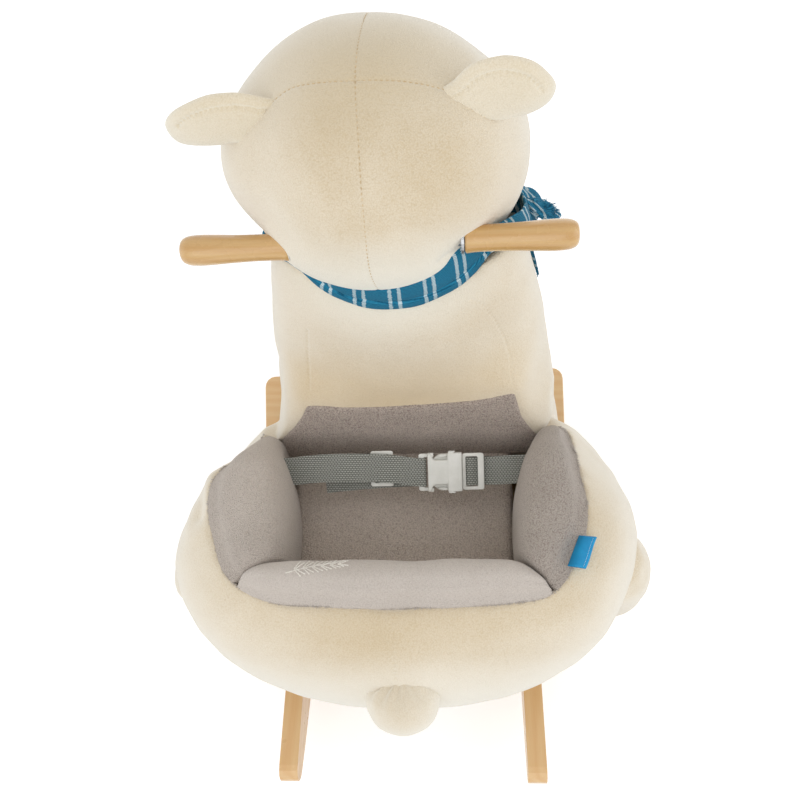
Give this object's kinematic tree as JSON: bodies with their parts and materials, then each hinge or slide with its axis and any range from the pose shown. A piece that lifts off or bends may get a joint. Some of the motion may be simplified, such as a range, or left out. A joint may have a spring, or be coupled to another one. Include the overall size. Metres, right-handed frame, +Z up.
{
  "type": "rocking animal",
  "caption": "Plush ride-on animal with a bucket seat, lap belt and wooden handle on two curved wooden rockers.",
  "frame": {"origin": "on the floor, at the middle of the rockers' curve, halfway between them; also the centre of the base of the bounding box", "axes": "+Z up, +Y forwards to the nose, +X to the side of the belt's insert (the rider's right)"},
  "size_m": [0.4638, 0.556, 0.564],
  "materials": {
    "plush_cream": "short-pile plush, matte",
    "seat_grey": "short-pile velour, matte",
    "seat_foam": "cut foam, matte",
    "webbing_grey": "woven webbing, matte",
    "scarf_blue": "woven check with pale stripes, matte",
    "tag_blue": "woven label tape, matte",
    "beech_wood": "pale hardwood under clear satin varnish",
    "plywood": "bare plywood",
    "steel": "zinc-plated, satin",
    "plastic_grey": "moulded, satin",
    "plastic_black": "polished"
  },
  "bodies": {
    "toy": {"body_plush": "plush_cream", "bolster_left": "seat_grey", "bolster_rear": "seat_grey", "bolster_right": "seat_grey", "bolt_front_left": "steel", "bolt_front_right": "steel", "bolt_rear_left": "steel", "bolt_rear_right": "steel", "buckle_housing": "plastic_grey", "crossbar_front": "beech_wood", "crossbar_rear": "beech_wood", "ear_left": "plush_cream", "ear_right": "plush_cream", "eye_left": "plastic_black", "eye_right": "plastic_black", "footrest_board": "beech_wood", "footrest_screw_left": "steel", "footrest_screw_right": "steel", "footrest_wedge_left": "beech_wood", "footrest_wedge_right": "beech_wood", "grip_left": "beech_wood", "grip_right": "beech_wood", "handle_nut_left": "steel", "handle_nut_right": "steel", "handle_rod": "steel", "handle_washer_left": "steel", "handle_washer_right": "steel", "head_plush": "plush_cream", "label_tag": "tag_blue", "leg_front_left": "plush_cream", "leg_front_right": "plush_cream", "leg_hind_left": "plush_cream", "leg_hind_right": "plush_cream", "muzzle": "plush_cream", "neck_bracket_left": "steel", "neck_bracket_right": "steel", "neck_post": "plywood", "nose": "plastic_black", "post_front_left": "beech_wood", "post_front_right": "beech_wood", "post_rear_left": "beech_wood", "post_rear_right": "beech_wood", "rocker_left": "beech_wood", "rocker_right": "beech_wood", "scarf_band": "scarf_blue", "scarf_end_inner": "scarf_blue", "scarf_end_outer": "scarf_blue", "scarf_knot": "scarf_blue", "seat_board": "plywood", "seat_foam": "seat_foam", "seat_pad": "seat_grey", "seat_panel": "seat_grey", "strap_left": "webbing_grey", "tail": "plush_cream"},
    "insert": {"buckle_insert": "plastic_grey", "strap_right": "webbing_grey"},
    "latch_upper": {"latch_upper": "plastic_grey"},
    "latch_lower": {"latch_lower": "plastic_grey"},
    "slider": {"strap_slider": "plastic_grey"}
  },
  "joints": [
    {"name": "buckle_release", "type": "slide", "parent": "toy", "child": "insert", "axis": [1, 0, 0], "range_m": [0, 0.026]},
    {"name": "latch_upper_squeeze", "type": "hinge", "parent": "insert", "child": "latch_upper", "pos_m": [0.05105, -0.0375, 0.25631], "axis": [0, -0.515, 0.8572], "range_deg": [0, 6], "stiffness_Nm_per_rad": 0.05},
    {"name": "latch_lower_squeeze", "type": "hinge", "parent": "insert", "child": "latch_lower", "pos_m": [0.05105, -0.0585, 0.24369], "axis": [0, -0.515, 0.8572], "range_deg": [-6, 0], "stiffness_Nm_per_rad": 0.05},
    {"name": "strap_adjust", "type": "slide", "parent": "toy", "child": "slider", "axis": [1, 0, 0], "range_m": [-0.04, 0.018]}
  ],
  "couplings": [
    {"joint": "latch_lower_squeeze", "follows": "latch_upper_squeeze", "ratio": -1}
  ]
}
